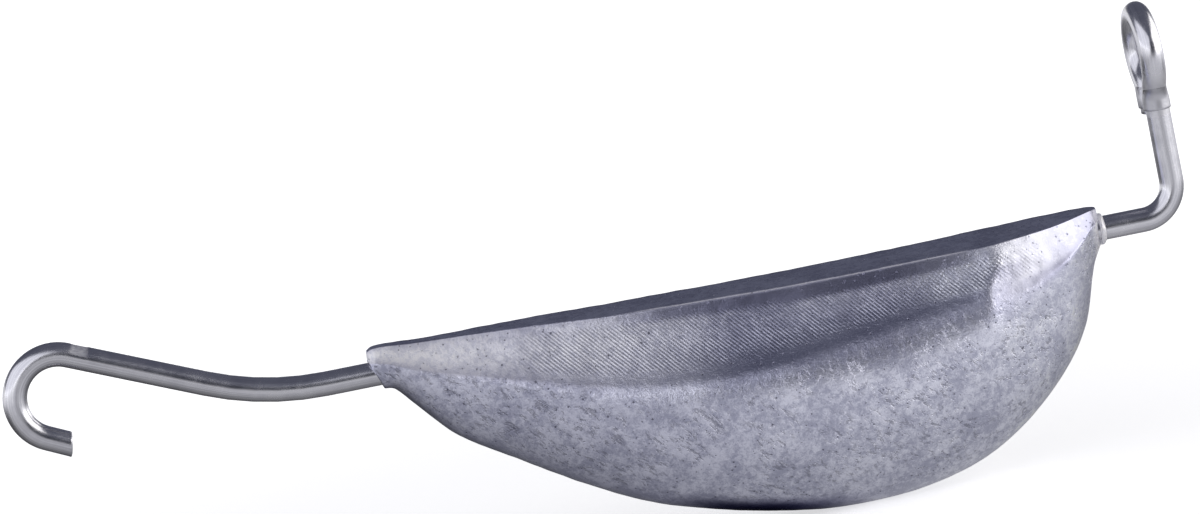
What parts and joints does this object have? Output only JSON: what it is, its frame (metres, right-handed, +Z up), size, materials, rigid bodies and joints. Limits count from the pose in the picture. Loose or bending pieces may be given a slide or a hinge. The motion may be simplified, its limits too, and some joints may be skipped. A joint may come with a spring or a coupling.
{
  "type": "fishing sinker",
  "caption": "Keel-shaped cast lead sinker on a through wire, with an open hook at the tail and a soldered line eye above the nose.",
  "frame": {"origin": "the middle of the line eye's hole", "axes": "+X from the hook end to the line eye end, +Z up, from the keel to the line eye, +Y across the casting"},
  "size_m": [0.0733, 0.0106, 0.0269],
  "materials": {
    "lead": "bare cast lead, bluish grey, satin with fine pits and mould marks",
    "wire": "drawn stainless wire, satin",
    "solder": "smooth dull solder"
  },
  "bodies": {
    "root": {"cast_body": "lead", "through_wire": "wire", "eye_solder": "solder"}
  },
  "joints": []
}
